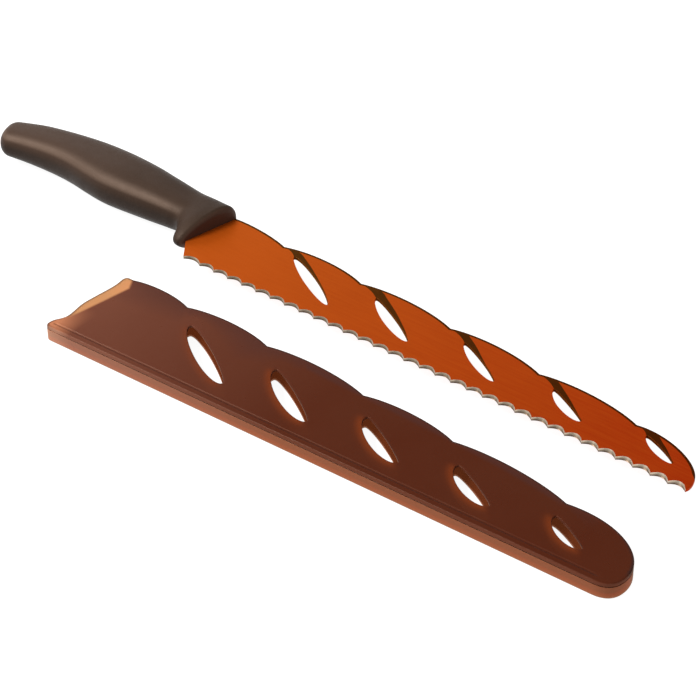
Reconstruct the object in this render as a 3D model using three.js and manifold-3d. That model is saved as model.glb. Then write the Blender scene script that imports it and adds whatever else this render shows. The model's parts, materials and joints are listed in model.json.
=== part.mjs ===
// Bread knife with its blade guard.
//
// The knife is a stamped steel blade with a hidden tang, a rigid core moulded on the tang and a grip
// moulded over the core.  The guard is two translucent shells welded along one seam; it lies beside
// the knife and slides over the blade, point first.  Millimetres, +Z up.
//
// Knife coordinates: x runs from the heel to the point, y from the cutting edge to the spine, and
// z = 0 is the middle plane of the blade.  x = 0, y = 0 is the first serration point after the heel.
// The guard has coordinates of its own, laid out the same way: when it sits on the knife its x = 0 is
// some 5 mm ahead of the knife's, so that its lip meets the grip.

import * as THREE from 'three';
import { mergeVertices } from 'three/addons/utils/BufferGeometryUtils.js';
import Module from 'manifold-3d';

const wasm = await Module();
wasm.setup();

// ---------------------------------------------------------------- driving dimensions

const gap = 0.3;                      // between pieces that touch
const overrun = 10;                   // how far a cutting body reaches past what it cuts

// blade
const bladeThickness = 1.2;
const serrationPitch = 6.5;
const serrationCount = 31;            // full serrations after the heel one
const serrationDepth = 1.45;
const heelX = -7.6;                   // rear end of the cutting edge
const spineStart = [-9.7, 30.0];      // where the spine leaves the grip
const spineNotches = [[16.7, 26.9], [52.5, 25.8], [93, 23.6], [131.5, 21.1], [171.8, 18.1]];
const spineCrest = 2.85;              // height of each spine wave over its chord
const firstSpineCrest = 1.35;
const tipCorner = [[202.7, 2], [201.2, 6]];            // control and end of the curve at the edge's end
const tipCurve = [[197.7, 14.2], [182, 20.5]];         // controls from there to the last notch

// windows through the blade: upper end, lower end, bulge towards the spine and towards the edge
const windows = [
  { upper: [23.6, 24.0], lower: [51.2, 8.4], over: 2.3, under: 2.3 },
  { upper: [62.1, 22.0], lower: [86.0, 8.6], over: 1.4, under: 3.1 },
  { upper: [101.7, 19.8], lower: [122.0, 8.5], over: 1.2, under: 2.7 },
  { upper: [140.0, 17.3], lower: [156.7, 8.6], over: 0.7, under: 3.2 },
  { upper: [177.3, 15.3], lower: [191.4, 8.6], over: 1.0, under: 2.4 },
];
// how blunt a window's tips are, 0.55 being round: the spine's side at its upper and lower tip, then the edge's
const windowTips = [0.60, 0.35, 0.30, 0.55];

// tang, hidden in the handle
const tangFront = -16;
const tangFrontY = 22.4;
const tangRear = -92;
const tangHalfHeight = 6;             // at its front end
const tangTaper = 0.7;                // its rear half height over its front one
const spineRoot = [-10, 28.4];        // from the spine down to the tang, inside the grip
const heelRoot = [[-15, 10], [-12.9, 7]];              // from the tang down to the heel
const tangHoles = [-38, -68];
const tangHoleRadius = 2.6;

// grip: top line, bottom line and half thickness along the handle, as [x, value]
const gripFront = -11.3;
const gripRear = -116.4;
const gripTop = [[-116.4, 25.8], [-109.5, 28.8], [-99.5, 32.4], [-79.5, 35.8], [-64.5, 36.6],
  [-49.5, 35.8], [-39.5, 34.4], [-24, 32.3], [-11.3, 31.4]];
const gripBottom = [[-116.4, 12.4], [-105, 14.2], [-89.5, 15.2], [-79.5, 14.8], [-69.5, 13.3],
  [-59.5, 12.3], [-39.5, 13.5], [-28, 14.3], [-22.3, 14.0], [-18.6, 10.3], [-15.6, 6.0], [-11.3, 4.9]];
const gripHalfThickness = [[-116.4, 5.6], [-99.5, 6.8], [-79.5, 7.8], [-59.5, 8.2], [-39.5, 7.5],
  [-26, 6.7], [-18, 6.8], [-11.3, 6.7]];
const gripSquareness = 2.35;          // exponent of the superellipse sections
const frontTopSquareness = 2.5;       // at the front face the top is squarer
const frontFootSquareness = 2.0;      // and the foot rounder
const frontSlant = 0.20;              // x gained for each millimetre of height at the front face
const rearSlant = -0.36;              // the same at the butt
const frontEdgeRadius = 2.0;
const rearEdgeRadius = 4.2;
const frontNarrowing = 0.32;          // how much slimmer the front face is at its foot

// core, moulded on the tang
const coreFront = -19;
const coreRear = -104;
const coreHalfThickness = 3.9;
const coreFrontHalf = 7.2;
const coreRearHalf = 5.6;
const coreChamfer = 0.8;
const coreSteps = 12;

// guard
const guardThickness = 6.2;
const guardWall = 0.95;
const guardEdgeY = -2.7;              // outside of the wall beside the cutting edge
const guardEdgeWall = 1.2;
const guardSpineStart = [-12.6, 36.1];
const guardNotches = [[13.1, 34.6], [49.4, 33.05], [92, 30.2], [129.6, 27.6], [175.5, 23.0]];
const guardCrest = 2.7;
const firstGuardCrest = 2;
// the lips at the mouth, from the spine side to the edge side: the upper one has a thumb hollow
const upperLip = [[-16.1, 28.7], [-17.3, 18.8], [-17.6, 13.8], [-16.9, 6], [-18.9, 1.6]];
const lowerLip = [[-17.2, 28.7], [-18.6, 20.6], [-20.2, 15.2], [-21.2, 11.0], [-21.2, 6.8], [-20.2, 2.4]];
const lipSpineCorner = [[-14.6, 36.1], [-16.4, 36.0], [-16.3, 33.8]];   // start, control and end
const lipEdgeCorner = [[-20.4, guardEdgeY], [-17.4, guardEdgeY]];        // control and end
const guardEndX = 208.5;
const guardEndRound = 8;              // radius of the corner where the edge wall turns up
const guardEndCurve = [[208.5, 16], [194, 25.6]];      // controls from there to the last notch
// the roof of the room inside, a plain line under the wavy spine
const cavityTop = [[-24, 34.2], [68, 29.9], [130, 26.4], [150, 24.6], [172, 21.4]];
const cavityEndRound = 7;
const cavityEndCurve = [[207.1, 14.6], [191, 22.4]];
const guardWindows = [
  { upper: [21.2, 26.7], lower: [50.8, 7.1], over: 2.3, under: 4.4 },
  { upper: [59.6, 24.5], lower: [86.0, 7.4], over: 1.5, under: 4.9 },
  { upper: [99.7, 21.5], lower: [122.4, 7.4], over: 1.2, under: 5.1 },
  { upper: [137.7, 18.5], lower: [157.6, 6.8], over: 1.1, under: 5.0 },
  { upper: [175.9, 15.9], lower: [191.4, 6.8], over: 0.9, under: 4.2 },
];
const guardWindowTips = [0.55, 0.55, 0.55, 0.55];
const lowerWindowGrow = 0.6;          // the lower shell's windows are larger all round
const lowerWindowReach = 2.1;         // and reach this much further towards the spine
const seamHeight = 1.5;               // of the weld seam over the middle plane
const grooveInset = 2.2;              // from the outside of the edge wall to the groove on top
const grooveWidth = 1.0;
const grooveDepth = 0.25;

// where the guard lies beside the knife, and how far it is turned
const guardRestOffset = [0.16, -54.9];
const guardRestTurn = 2.0 * Math.PI / 180;

// ---------------------------------------------------------------- solids

function solidOf(geometry) {
  const bare = geometry.clone();
  bare.deleteAttribute('normal');
  bare.deleteAttribute('uv');
  const merged = mergeVertices(bare, 1e-4);
  const mesh = new wasm.Mesh({
    numProp: 3,
    vertProperties: new Float32Array(merged.attributes.position.array),
    triVerts: new Uint32Array(merged.index.array),
  });
  return new wasm.Manifold(mesh);
}

function geometryOf(solid) {
  const mesh = solid.getMesh();
  const geometry = new THREE.BufferGeometry();
  geometry.setAttribute('position', new THREE.BufferAttribute(new Float32Array(mesh.vertProperties), 3));
  geometry.setIndex(new THREE.BufferAttribute(new Uint32Array(mesh.triVerts), 1));
  geometry.computeVertexNormals();
  return geometry;
}

// a plate of the given outline between two heights
function plate(shape, low, high, curveSegments = 10, chamfer = 0) {
  const geometry = new THREE.ExtrudeGeometry(shape, {
    depth: high - low - 2 * chamfer,
    curveSegments,
    bevelEnabled: chamfer > 0,
    bevelThickness: chamfer,
    bevelSize: chamfer,
    bevelOffset: -chamfer,
    bevelSegments: 2,
  });
  geometry.translate(0, 0, low + chamfer);
  return solidOf(geometry);
}

function block(x0, x1, y0, y1, z0, z1) {
  const geometry = new THREE.BoxGeometry(x1 - x0, y1 - y0, z1 - z0);
  geometry.translate((x0 + x1) / 2, (y0 + y1) / 2, (z0 + z1) / 2);
  return solidOf(geometry);
}

function upright(x, y, radius, low, high) {
  const geometry = new THREE.CylinderGeometry(radius, radius, high - low, 24);
  geometry.rotateX(Math.PI / 2);
  geometry.translate(x, y, (low + high) / 2);
  return solidOf(geometry);
}

function named(name, solid, colour, roughness, metalness) {
  const material = new THREE.MeshStandardMaterial({ color: colour, roughness, metalness });
  const mesh = new THREE.Mesh(geometryOf(solid), material);
  mesh.name = name;
  return mesh;
}

// ---------------------------------------------------------------- outlines

// one wave of a spine, from where the outline stands to the point given, bulging by crest
function wave(shape, from, to, crest) {
  const lift = crest * 4 / 3;
  const run = (to[0] - from[0]) * 0.27;
  const fall = (to[1] - from[1]) * 0.27;
  shape.bezierCurveTo(from[0] + run, from[1] + fall + lift, to[0] - run, to[1] - fall + lift, to[0], to[1]);
}

// a leaf-shaped window, made larger all round by grow and longer at its upper tip by reach
function leaf({ upper, lower, over, under }, tips, grow = 0, reach = 0) {
  const along = new THREE.Vector2(lower[0] - upper[0], lower[1] - upper[1]).normalize();
  const across = new THREE.Vector2(-along.y, along.x);
  const a = new THREE.Vector2(...upper).addScaledVector(along, -grow - reach);
  const b = new THREE.Vector2(...lower).addScaledVector(along, grow);
  const handle = 0.55 * a.distanceTo(b) / 2;
  const shape = new THREE.Path();
  const curve = (c1, c2, end) => shape.bezierCurveTo(c1.x, c1.y, c2.x, c2.y, end.x, end.y);
  const moved = (point, direction, length) => point.clone().addScaledVector(direction, length);
  const edgeBulge = -(under + grow);
  const spineBulge = over + grow;
  const edgeMiddle = moved(a.clone().lerp(b, 0.5), across, edgeBulge);
  const spineMiddle = moved(a.clone().lerp(b, 0.5), across, spineBulge);
  shape.moveTo(a.x, a.y);
  curve(moved(a, across, tips[2] * edgeBulge), moved(edgeMiddle, along, -handle), edgeMiddle);
  curve(moved(edgeMiddle, along, handle), moved(b, across, tips[3] * edgeBulge), b);
  curve(moved(b, across, tips[1] * spineBulge), moved(spineMiddle, along, handle), spineMiddle);
  curve(moved(spineMiddle, along, -handle), moved(a, across, tips[0] * spineBulge), a);
  return shape;
}

const valueAt = (table, x) => {
  const i = Math.min(Math.max(table.findIndex((row) => row[0] >= x), 1), table.length - 1);
  const slope = (j) => {
    const before = table[Math.max(j - 1, 0)];
    const after = table[Math.min(j + 1, table.length - 1)];
    return (after[1] - before[1]) / (after[0] - before[0]);
  };
  const [x0, y0] = table[i - 1];
  const [x1, y1] = table[i];
  const t = (x - x0) / (x1 - x0);
  const span = x1 - x0;
  return (2 * t ** 3 - 3 * t ** 2 + 1) * y0 + (t ** 3 - 2 * t ** 2 + t) * span * slope(i - 1)
    + (3 * t ** 2 - 2 * t ** 3) * y1 + (t ** 3 - t ** 2) * span * slope(i);
};

const gripMiddle = (x) => (valueAt(gripTop, x) + valueAt(gripBottom, x)) / 2;

// the core follows the tang at its front and the middle of the grip further back
const coreMiddle = (x) => THREE.MathUtils.lerp(tangFrontY, gripMiddle(x),
  THREE.MathUtils.smoothstep(-x, 20, 45));

const valueOnLine = ([x0, y0], [x1, y1], x) => y0 + (y1 - y0) * (x - x0) / (x1 - x0);

// the tang's outline, made larger all round by grow
function addTang(shape, grow) {
  const rearHalf = tangHalfHeight * tangTaper;
  const rearY = gripMiddle(tangRear + rearHalf);
  shape.lineTo(tangFront, tangFrontY + tangHalfHeight + grow);
  shape.lineTo(tangRear + rearHalf, rearY + rearHalf + grow);
  shape.absarc(tangRear + rearHalf, rearY, rearHalf + grow, Math.PI / 2, 3 * Math.PI / 2, false);
  shape.lineTo(tangFront, tangFrontY - tangHalfHeight - grow);
}

function bladeShape() {
  const shape = new THREE.Shape();
  shape.moveTo(heelX, 0);
  shape.quadraticCurveTo(heelX / 2, 2 * serrationDepth, 0, 0);
  for (let i = 0; i < serrationCount; i += 1) {
    const start = i * serrationPitch;
    shape.quadraticCurveTo(start + serrationPitch / 2, 2 * serrationDepth, start + serrationPitch, 0);
  }
  shape.quadraticCurveTo(...tipCorner.flat());
  shape.bezierCurveTo(...tipCurve.flat(), ...spineNotches.at(-1));
  for (let i = spineNotches.length - 1; i > 0; i -= 1) {
    wave(shape, spineNotches[i], spineNotches[i - 1], spineCrest);
  }
  wave(shape, spineNotches[0], spineStart, firstSpineCrest);
  shape.lineTo(...spineRoot);
  addTang(shape, 0);
  heelRoot.forEach((point) => shape.lineTo(...point));
  tangHoles.forEach((x) => {
    const hole = new THREE.Path();
    hole.absarc(x, gripMiddle(x), tangHoleRadius, 0, 2 * Math.PI, true);
    shape.holes.push(hole);
  });
  windows.forEach((window) => shape.holes.push(leaf(window, windowTips)));
  return shape;
}

// ---------------------------------------------------------------- handle

// one closed section of the handle: sides points round it, shrunk by inset from its edge
function gripSection(x, inset, sides) {
  const top = valueAt(gripTop, x);
  const bottom = valueAt(gripBottom, x);
  const middle = (top + bottom) / 2;
  const halfHeight = (top - bottom) / 2 - inset;
  const halfThick = valueAt(gripHalfThickness, x) - inset;
  const nearFront = THREE.MathUtils.smoothstep(x, -28, gripFront);
  const slant = x > -60
    ? frontSlant * THREE.MathUtils.smoothstep(x, -45, gripFront)
    : rearSlant * (1 - THREE.MathUtils.smoothstep(x, gripRear, -85));
  return Array.from({ length: sides }, (_, i) => {
    const angle = 2 * Math.PI * i / sides;
    const frontSquareness = Math.cos(angle) > 0 ? frontTopSquareness : frontFootSquareness;
    const power = 2 / THREE.MathUtils.lerp(gripSquareness, frontSquareness, nearFront);
    const up = Math.sign(Math.cos(angle)) * Math.abs(Math.cos(angle)) ** power;
    const out = Math.sign(Math.sin(angle)) * Math.abs(Math.sin(angle)) ** power;
    const y = middle + halfHeight * up;
    const z = halfThick * out * (1 + frontNarrowing * nearFront * up);
    return new THREE.Vector3(x + slant * (y - middle), y, z);
  });
}

// a skin over closed sections, with a flat fan over each end
function loft(sections) {
  const sides = sections[0].length;
  const points = sections.flat();
  const faces = [];
  for (let row = 0; row + 1 < sections.length; row += 1) {
    for (let i = 0; i < sides; i += 1) {
      const j = (i + 1) % sides;
      const [a, b, c, d] = [row * sides + i, row * sides + j, (row + 1) * sides + j, (row + 1) * sides + i];
      faces.push(a, b, c, a, c, d);
    }
  }
  [0, sections.length - 1].forEach((row) => {
    const centre = sections[row].reduce((sum, p) => sum.add(p), new THREE.Vector3()).divideScalar(sides);
    points.push(centre);
    for (let i = 0; i < sides; i += 1) {
      const edge = [row * sides + i, row * sides + (i + 1) % sides];
      faces.push(points.length - 1, ...(row === 0 ? edge.reverse() : edge));
    }
  });
  const geometry = new THREE.BufferGeometry().setFromPoints(points);
  geometry.setIndex(faces);
  return geometry;
}

function gripBody() {
  const sides = 40;
  const stations = 34;
  const rearSteps = 5;
  const frontSteps = 3;
  const straightFrom = gripRear + rearEdgeRadius;
  const straightTo = gripFront - frontEdgeRadius;
  const sections = [];
  for (let i = 0; i < rearSteps; i += 1) {
    const angle = (Math.PI / 2) * (i / rearSteps);
    const x = gripRear + rearEdgeRadius * (1 - Math.cos(angle));
    sections.push(gripSection(x, rearEdgeRadius * (1 - Math.sin(angle)), sides));
  }
  for (let i = 0; i < stations; i += 1) {
    const x = straightFrom + (straightTo - straightFrom) * (i / stations);
    sections.push(gripSection(x, 0, sides));
  }
  for (let i = 0; i <= frontSteps; i += 1) {
    const angle = (Math.PI / 2) * (i / frontSteps);
    const x = straightTo + frontEdgeRadius * Math.sin(angle);
    sections.push(gripSection(x, frontEdgeRadius * (1 - Math.cos(angle)), sides));
  }
  return solidOf(loft(sections));
}

// the core's outline, made larger all round by grow
function coreShape(grow) {
  const upper = [];
  const lower = [];
  for (let i = 0; i <= coreSteps; i += 1) {
    const t = i / coreSteps;
    const x = coreFront + grow + (coreRear - coreFront - 2 * grow) * t;
    const half = THREE.MathUtils.lerp(coreFrontHalf, coreRearHalf, t) + grow;
    upper.push(new THREE.Vector2(x, coreMiddle(x) + half));
    lower.unshift(new THREE.Vector2(x, coreMiddle(x) - half));
  }
  return new THREE.Shape([...upper, ...lower]);
}

function tangSlot() {
  const shape = new THREE.Shape();
  const room = tangHalfHeight + gap;
  shape.moveTo(coreFront + overrun, tangFrontY - room);
  shape.lineTo(coreFront + overrun, tangFrontY + room);
  addTang(shape, gap);
  const half = bladeThickness / 2 + gap;
  return plate(shape, -half, half);
}

function makeCore() {
  let core = plate(coreShape(0), -coreHalfThickness, coreHalfThickness, 1, coreChamfer);
  core = core.subtract(tangSlot());
  tangHoles.forEach((x) => {
    core = core.add(upright(x, gripMiddle(x), tangHoleRadius - gap, -coreHalfThickness / 2,
      coreHalfThickness / 2));
  });
  return core;
}

// the grip has room for the core, and a slot at the front through which the blade comes out
function makeGrip() {
  const half = coreHalfThickness + gap;
  const room = plate(coreShape(gap), -half, half, 1, coreChamfer);
  const slotHalf = bladeThickness / 2 + gap;
  const [rear, front] = [coreFront - 3, gripFront + overrun];
  const slot = new THREE.Shape([
    [rear, tangFrontY - tangHalfHeight], [heelRoot[0][0] - 2 * gap, heelRoot[0][1] - 0.8],
    [spineRoot[0], 0], [front, 0], [front, spineStart[1] + gap], [rear, spineStart[1] + gap],
  ].map((point) => new THREE.Vector2(...point)));
  return gripBody().subtract(room).subtract(plate(slot, -slotHalf, slotHalf));
}

// ---------------------------------------------------------------- guard

function guardShape(lip) {
  const shape = new THREE.Shape();
  shape.moveTo(...lipEdgeCorner[1]);
  shape.lineTo(guardEndX - guardEndRound, guardEdgeY);
  shape.quadraticCurveTo(guardEndX, guardEdgeY, guardEndX, guardEdgeY + guardEndRound);
  shape.bezierCurveTo(...guardEndCurve.flat(), ...guardNotches.at(-1));
  for (let i = guardNotches.length - 1; i > 0; i -= 1) {
    wave(shape, guardNotches[i], guardNotches[i - 1], guardCrest);
  }
  wave(shape, guardNotches[0], guardSpineStart, firstGuardCrest);
  shape.lineTo(...lipSpineCorner[0]);
  shape.quadraticCurveTo(...lipSpineCorner.slice(1).flat());
  shape.splineThru(lip.map((point) => new THREE.Vector2(...point)));
  shape.quadraticCurveTo(...lipEdgeCorner.flat());
  return shape;
}

// the room inside; at the mouth it is open on the spine side too
function cavityShape() {
  const shape = new THREE.Shape();
  const floor = guardEdgeY + guardEdgeWall;
  const end = guardEndX - guardEdgeWall;
  const mouth = lipEdgeCorner[0][0] - overrun;
  const above = guardSpineStart[1] + overrun;
  shape.moveTo(mouth, floor);
  shape.lineTo(end - cavityEndRound, floor);
  shape.quadraticCurveTo(end, floor, end, floor + cavityEndRound);
  shape.bezierCurveTo(...cavityEndCurve.flat(), ...cavityTop.at(-1));
  cavityTop.slice(1, -1).reverse().forEach((point) => shape.lineTo(...point));
  shape.lineTo(guardSpineStart[0], valueOnLine(cavityTop[0], cavityTop[1], guardSpineStart[0]));
  shape.lineTo(guardSpineStart[0], above);
  shape.lineTo(mouth, above);
  return shape;
}

function makeShell(lip, larger, low, high, cavityLow, cavityHigh) {
  const outer = plate(guardShape(lip), low, high, 8);
  const inner = plate(cavityShape(), cavityLow, cavityHigh, 8);
  const openings = guardWindows.map((window) => {
    const shape = new THREE.Shape(leaf(window, guardWindowTips, ...larger).getPoints(6));
    return plate(shape, low - overrun, high + overrun);
  });
  return openings.reduce((shell, opening) => shell.subtract(opening), outer.subtract(inner));
}

// a shallow groove along the shell's top face, beside the edge wall
function grooved(shell, top) {
  const from = guardEdgeY + grooveInset;
  return shell.subtract(block(lipEdgeCorner[0][0] - overrun, guardEndX + overrun,
    from, from + grooveWidth, top - grooveDepth, top + overrun));
}

// ---------------------------------------------------------------- assembly

const halfGuard = guardThickness / 2;
const cavityHalf = halfGuard - guardWall;
const bladeHalf = bladeThickness / 2;

const knife = new THREE.Group();
knife.add(named('blade', plate(bladeShape(), -bladeHalf, bladeHalf, 8), 0xb4551c, 0.38, 0.25));
knife.add(named('handle_core', makeCore(), 0x2c2723, 0.6, 0));
knife.add(named('handle_grip', makeGrip(), 0x52423a, 0.55, 0));

const guard = new THREE.Group();
const upperShell = makeShell(upperLip, [], seamHeight + gap / 2, halfGuard, -halfGuard, cavityHalf);
const lowerShell = makeShell(lowerLip, [lowerWindowGrow, lowerWindowReach], -halfGuard, seamHeight - gap / 2, -cavityHalf,
  halfGuard);
guard.add(named('guard_upper_shell', grooved(upperShell, halfGuard), 0x6b3a26, 0.25, 0));
guard.add(named('guard_lower_shell', lowerShell, 0x6b3a26, 0.25, 0));

// both lie on the table, the guard beside the cutting edge
knife.position.z = -new THREE.Box3().setFromObject(knife).min.z;
guard.position.set(...guardRestOffset, halfGuard);
guard.rotation.z = guardRestTurn;

const model = new THREE.Group();
model.add(knife, guard);
model.updateMatrixWorld(true);
const extent = new THREE.Box3().setFromObject(model, true);
const middle = extent.getCenter(new THREE.Vector3());
model.position.set(-middle.x, -middle.y, -extent.min.z);

export default model;
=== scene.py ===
"""The looks of a bread knife and its see-through blade guard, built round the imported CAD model.

Outlines are worked out in millimetres in the knife's own coordinates, or the guard's: x runs from
the heel to the point, y from the cutting edge to the spine, z is up from the middle plane.  Both
are placed by the boxes of the CAD nodes, and the guard points along the joint it slides on.
"""

import json
import math

import bpy
import numpy as np
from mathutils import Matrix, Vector
from mathutils.geometry import delaunay_2d_cdt


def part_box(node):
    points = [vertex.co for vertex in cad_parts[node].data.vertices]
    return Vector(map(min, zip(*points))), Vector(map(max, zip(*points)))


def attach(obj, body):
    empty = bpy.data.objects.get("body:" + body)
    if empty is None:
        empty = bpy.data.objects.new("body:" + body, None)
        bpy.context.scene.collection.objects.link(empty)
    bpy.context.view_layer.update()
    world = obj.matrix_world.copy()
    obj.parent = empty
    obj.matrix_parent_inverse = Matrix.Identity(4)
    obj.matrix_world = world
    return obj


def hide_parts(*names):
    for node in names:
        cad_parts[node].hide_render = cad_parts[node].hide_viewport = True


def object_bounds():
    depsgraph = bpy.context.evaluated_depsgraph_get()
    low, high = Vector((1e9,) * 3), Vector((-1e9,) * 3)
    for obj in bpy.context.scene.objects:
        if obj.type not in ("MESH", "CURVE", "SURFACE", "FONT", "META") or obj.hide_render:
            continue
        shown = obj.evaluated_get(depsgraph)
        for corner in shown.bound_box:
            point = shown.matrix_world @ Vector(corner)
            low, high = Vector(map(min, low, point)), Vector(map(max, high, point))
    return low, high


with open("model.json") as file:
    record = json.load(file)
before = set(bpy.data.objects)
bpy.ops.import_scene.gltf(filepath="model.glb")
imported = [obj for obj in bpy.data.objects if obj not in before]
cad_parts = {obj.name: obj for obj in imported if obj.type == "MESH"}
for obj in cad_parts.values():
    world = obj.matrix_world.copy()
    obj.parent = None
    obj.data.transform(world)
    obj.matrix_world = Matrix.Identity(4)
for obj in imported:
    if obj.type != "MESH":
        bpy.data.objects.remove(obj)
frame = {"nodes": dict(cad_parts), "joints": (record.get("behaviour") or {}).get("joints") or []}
cad_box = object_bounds()
scene = bpy.context.scene

MM = 0.001


def placed(name, data):
    piece = bpy.data.objects.new(name, data)
    scene.collection.objects.link(piece)
    return piece


# -------- camera, first of all

CAMERA_AZIMUTH = math.radians(38.6)
CAMERA_ELEVATION = math.radians(36.0)
CAMERA_DISTANCE = 0.8192
CAMERA_AIM = Vector((0.0211, 0.0128, 0.0))   # on the table, between the knife and its guard
LENS = 123.2
SENSOR = 36.0

toward_camera = Vector((
    math.sin(CAMERA_AZIMUTH) * math.cos(CAMERA_ELEVATION),
    -math.cos(CAMERA_AZIMUTH) * math.cos(CAMERA_ELEVATION),
    math.sin(CAMERA_ELEVATION),
))
camera_data = bpy.data.cameras.new("camera")
camera_data.lens = LENS
camera_data.sensor_width = SENSOR
camera_data.clip_start = 0.01
camera_data.clip_end = 20
camera = placed("camera", camera_data)
camera.location = CAMERA_AIM + toward_camera * CAMERA_DISTANCE
camera.rotation_mode = "QUATERNION"
camera.rotation_quaternion = (-toward_camera).to_track_quat("-Z", "Y")
scene.camera = camera

# -------- dimensions, in millimetres

BLADE_HALF = 0.6
PITCH = 6.5
SCALLOPS = 31
EDGE_LENGTH = SCALLOPS * PITCH
SCALLOP_DEPTH = 1.45
HEEL_X = -7.6
SPINE_START = (-9.7, 30.0)
SPINE_NOTCHES = [(16.7, 26.9), (52.5, 25.8), (93.0, 23.6), (131.5, 21.1), (171.8, 18.1)]
SPINE_CREST = 2.85
FIRST_CREST = 1.35
TIP_CORNER = [(202.7, 2.0), (201.2, 6.0)]
TIP_CURVE = [(197.7, 14.2), (182.0, 20.5)]
WINDOWS = [
    dict(upper=(23.6, 24.0), lower=(51.2, 8.4), over=2.3, under=2.3),
    dict(upper=(62.1, 22.0), lower=(86.0, 8.6), over=1.4, under=3.1),
    dict(upper=(101.7, 19.8), lower=(122.0, 8.5), over=1.2, under=2.7),
    dict(upper=(140.0, 17.3), lower=(156.7, 8.6), over=0.7, under=3.2),
    dict(upper=(177.3, 15.3), lower=(191.4, 8.6), over=1.0, under=2.4),
]
# how blunt a window's tips are, 0.55 being round: the spine's side at the upper and lower tip, then
# the edge's side
WINDOW_TIPS = (0.60, 0.35, 0.30, 0.55)
# the printed band beside each window: where it leaves the spine, and its outer border
BANDS = [
    dict(leaves=21.2, border=[(24.6, 27.0), (28.1, 25.2), (32.2, 22.9), (37.9, 19.3), (43.1, 15.8),
                              (47.7, 12.3)]),
    dict(leaves=57.8, border=[(62.0, 26.1), (65.3, 24.1), (69.3, 21.7), (73.5, 19.0), (78.5, 15.4),
                              (82.8, 12.0)]),
    dict(leaves=99.2, border=[(101.7, 23.3), (106.3, 20.4), (111.1, 16.8), (115.9, 13.2)]),
    dict(leaves=137.0, border=[(139.1, 21.3), (143.6, 18.4), (148.1, 15.3), (152.2, 12.2)]),
    dict(leaves=177.2, border=[(179.4, 18.4), (183.2, 15.5), (186.8, 12.9)]),
]
BAND_START_BULGE = 0.7            # how far its start at the notch curves to the spine
SPINE_LINE = 0.85                 # width of the line printed along the spine
TANG_FRONT = (-16.0, 22.4)
TANG_REAR = -92.0
TANG_HALF = 6.0
TANG_TAPER = 0.7
SPINE_ROOT = (-10.0, 28.4)
HEEL_ROOT = [(-15.0, 10.0), (-12.9, 7.0)]
TANG_HOLES = [-38.0, -68.0]
TANG_HOLE_RADIUS = 2.6
GROUND_SHARE = (0.22, 0.5)        # how much further up the grinding reaches, at heel and point
GROUND_LEAST = 0.10
GROUND_EDGE = 0.05                # thickness left at the very edge
GROUND_CURVE = 1.35               # how hollow the ground faces are; 1 is flat
GROUND_ROWS = 9
PRINT_FROM = 4.5                  # the printed line along the spine starts this high at the point,
PRINT_FADE = 14                   # and widens over this many points, from
PRINT_LEAST = 0.02                # this share of its width
BLADE_ROUND, BLADE_ROUND_STEPS = 0.12, 3

INSIDE = 0.012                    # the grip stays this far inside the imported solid
GRIP_FRONT = -11.3
GRIP_REAR = -116.4
GRIP_TOP = [(-116.4, 25.8), (-109.5, 28.8), (-99.5, 32.4), (-79.5, 35.8), (-64.5, 36.6),
            (-49.5, 35.8), (-39.5, 34.4), (-24.0, 32.3), (-11.3, 31.4)]
GRIP_BOTTOM = [(-116.4, 12.4), (-105.0, 14.2), (-89.5, 15.2), (-79.5, 14.8), (-69.5, 13.3),
               (-59.5, 12.3), (-39.5, 13.5), (-28.0, 14.3), (-22.3, 14.0), (-18.6, 10.3),
               (-15.6, 6.0), (-11.3, 4.9)]
GRIP_HALF = [(-116.4, 5.6), (-99.5, 6.8), (-79.5, 7.8), (-59.5, 8.2), (-39.5, 7.5), (-26.0, 6.7),
             (-18.0, 6.8), (-11.3, 6.7)]
GRIP_SQUARE = 2.35                # how square the sections are; 2 is an ellipse
FRONT_TOP_SQUARE = 2.5
FRONT_FOOT_SQUARE = 2.0
FRONT_FROM = -28.0                # from here on the sections change to the finger guard's
FRONT_SLANT = 0.20                # how much a section leans at the front, and at the butt
REAR_SLANT = -0.36
FRONT_SLANT_FROM = -45.0
REAR_SLANT_TO = -85.0
FRONT_ROUND = 2.0
REAR_ROUND = 4.2
FRONT_NARROWING = 0.32            # how much narrower the finger guard's foot is than its top
GRIP_SIDES, GRIP_STATIONS, GRIP_TURNS = 144, 190, 14

GUARD_HALF = 3.1
GUARD_WALL = 0.95
GUARD_EDGE_Y = -2.7
GUARD_EDGE_WALL = 1.2
GUARD_SPINE_START = (-12.6, 36.1)
GUARD_NOTCHES = [(13.1, 34.6), (49.4, 33.05), (92.0, 30.2), (129.6, 27.6), (175.5, 23.0)]
GUARD_CREST = 2.7
GUARD_FIRST_CREST = 2.0
UPPER_LIP = [(-16.1, 28.7), (-17.3, 18.8), (-17.6, 13.8), (-16.9, 6.0), (-18.9, 1.6)]
LOWER_LIP = [(-17.2, 28.7), (-18.6, 20.6), (-20.2, 15.2), (-21.2, 11.0), (-21.2, 6.8),
             (-20.2, 2.4)]
LIP_SPINE_CORNER = [(-14.6, 36.1), (-16.4, 36.0), (-16.3, 33.8)]
LIP_EDGE_CORNER = [(-20.4, GUARD_EDGE_Y), (-17.4, GUARD_EDGE_Y)]
GUARD_END = 208.5
GUARD_END_ROUND = 8.0
GUARD_END_CURVE = [(208.5, 16.0), (194.0, 25.6)]
CAVITY_TOP = [(-24.0, 34.2), (68.0, 29.9), (130.0, 26.4), (150.0, 24.6), (172.0, 21.4)]
CAVITY_END_ROUND = 7.0
CAVITY_END_CURVE = [(207.1, 14.6), (191.0, 22.4)]
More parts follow.
